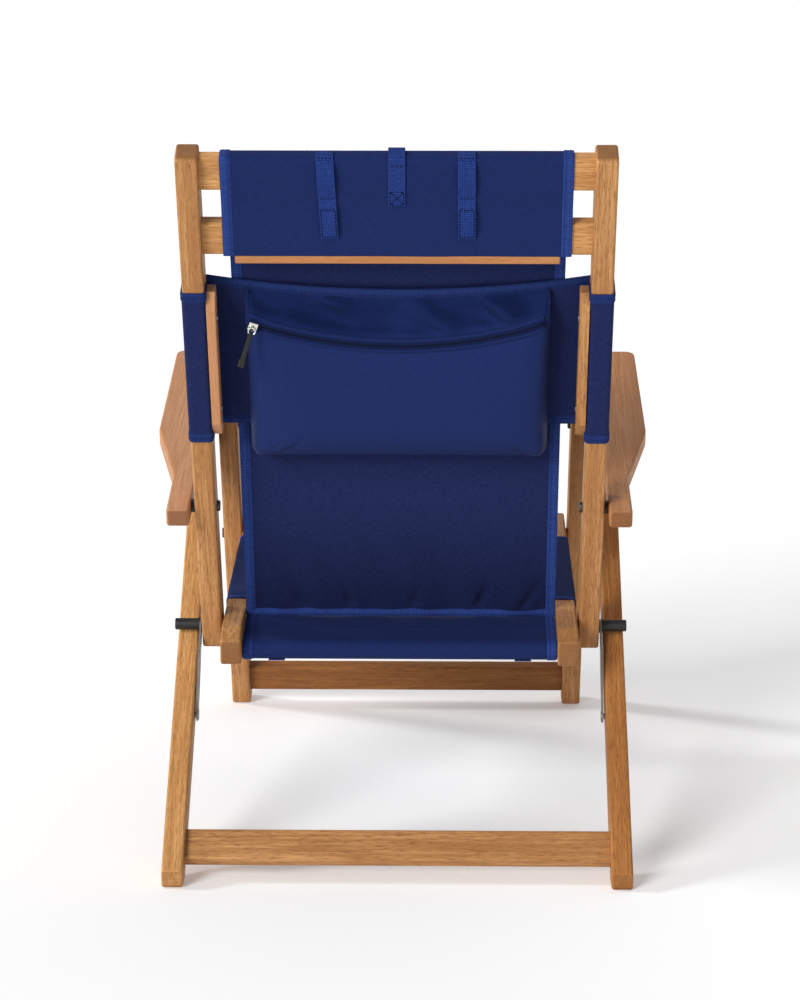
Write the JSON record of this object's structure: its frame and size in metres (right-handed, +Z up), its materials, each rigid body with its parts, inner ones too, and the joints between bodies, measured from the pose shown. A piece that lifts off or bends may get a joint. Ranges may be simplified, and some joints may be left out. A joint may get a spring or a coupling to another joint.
{
  "type": "folding sling chair",
  "caption": "Low folding timber lounge chair with a cloth sling seat and back, shaped armrests, a lumbar band with a zipped pocket and linked legs that fold flat with the back.",
  "frame": {"origin": "middle of the chair's box, on the floor", "axes": "+Y the way the sitter faces, +X to the sitter's right, +Z up"},
  "size_m": [0.682, 0.8939, 0.9617],
  "materials": {
    "timber": "oiled hardwood, fine dark pores",
    "canvas": "navy woven outdoor cloth with bound edges",
    "webbing": "navy webbing",
    "black_plastic": "black moulded plastic",
    "black_rubber": "black moulded pull",
    "zip_metal": "nickel plated",
    "dark_steel": "blackened steel",
    "steel": "zinc plated steel"
  },
  "bodies": {
    "seat": {"seat_rail_left": "timber", "seat_rail_right": "timber", "seat_rear_bar": "timber", "seat_front_bar": "timber", "seat_sling": "canvas", "main_bolts": "dark_steel", "stop_sleeves": "black_plastic", "seat_washers": "black_plastic"},
    "back": {"back_upright_left": "timber", "back_upright_right": "timber", "top_rail": "timber", "second_rail": "timber", "retaining_slat": "timber", "clamp_batten_left": "timber", "clamp_batten_right": "timber", "batten_screws": "steel", "lumbar_band": "canvas", "pocket_bag": "canvas", "zipper_tape": "webbing", "head_flap": "canvas", "back_sling": "canvas", "webbing_strips": "webbing", "webbing_tab": "webbing", "back_washers": "black_plastic"},
    "front_legs": {"front_leg_left": "timber", "front_leg_right": "timber", "front_stretcher": "timber", "front_bolts": "dark_steel", "front_washers": "black_plastic", "top_bolts": "dark_steel", "top_washers": "black_plastic"},
    "rear_legs": {"rear_leg_left": "timber", "rear_leg_right": "timber", "rear_stretcher": "timber"},
    "armrest_left": {"armrest_left": "timber", "arm_bracket_left": "steel", "bracket_screws_left": "steel", "arm_bolt_left": "dark_steel", "arm_spacer_left": "black_plastic"},
    "armrest_right": {"armrest_right": "timber", "arm_bracket_right": "steel", "bracket_screws_right": "steel", "arm_bolt_right": "dark_steel", "arm_spacer_right": "black_plastic"},
    "strap_left": {"link_strap_left": "steel", "strap_rivet_left": "steel"},
    "strap_right": {"link_strap_right": "steel", "strap_rivet_right": "steel"},
    "zip_slider": {"zip_slider": "zip_metal"},
    "zip_pull": {"pull_ring": "zip_metal", "zip_pull": "black_rubber"}
  },
  "joints": [
    {"name": "back_fold", "type": "hinge", "parent": "seat", "child": "back", "pos_m": [0, -0.12592, 0.2725], "axis": [-1, 0, 0], "range_deg": [0, 100], "deforming": ["back_sling"]},
    {"name": "front_leg_fold", "type": "hinge", "parent": "seat", "child": "front_legs", "pos_m": [0, 0.29207, 0.3], "axis": [-1, 0, 0], "range_deg": [0, 100]},
    {"name": "rear_leg_fold", "type": "hinge", "parent": "front_legs", "child": "rear_legs", "pos_m": [0, 0.20922, 0.48609], "axis": [1, 0, 0], "range_deg": [0, 78.5]},
    {"name": "arm_left_fold", "type": "hinge", "parent": "back", "child": "armrest_left", "pos_m": [-0.274, -0.20878, 0.45859], "axis": [1, 0, 0], "range_deg": [0, 100]},
    {"name": "arm_right_fold", "type": "hinge", "parent": "back", "child": "armrest_right", "pos_m": [0.274, -0.20878, 0.45859], "axis": [1, 0, 0], "range_deg": [0, 100]},
    {"name": "strap_left_fold", "type": "hinge", "parent": "seat", "child": "strap_left", "pos_m": [-0.274, -0.12592, 0.2725], "axis": [1, 0, 0], "range_deg": [0, 96.2]},
    {"name": "strap_right_fold", "type": "hinge", "parent": "seat", "child": "strap_right", "pos_m": [0.274, -0.12592, 0.2725], "axis": [1, 0, 0], "range_deg": [0, 96.2]},
    {"name": "zip_run", "type": "hinge", "parent": "back", "child": "zip_slider", "pos_m": [0, -0.55424, 1.191], "axis": [0, -0.9135, -0.4067], "range_deg": [0, 39.5]},
    {"name": "zip_pull_swing", "type": "hinge", "parent": "zip_slider", "child": "zip_pull", "pos_m": [-0.18336, -0.35132, 0.72269], "axis": [0.9411, 0.1375, -0.3089], "range_deg": [-60, 12]}
  ],
  "couplings": [
    {"joint": "front_leg_fold", "follows": "back_fold", "ratio": 1},
    {"joint": "rear_leg_fold", "follows": "back_fold", "ratio": 0.78409},
    {"joint": "arm_left_fold", "follows": "back_fold", "ratio": 1},
    {"joint": "arm_right_fold", "follows": "back_fold", "ratio": 1},
    {"joint": "strap_left_fold", "follows": "back_fold", "ratio": 0.9615},
    {"joint": "strap_right_fold", "follows": "back_fold", "ratio": 0.9615}
  ]
}
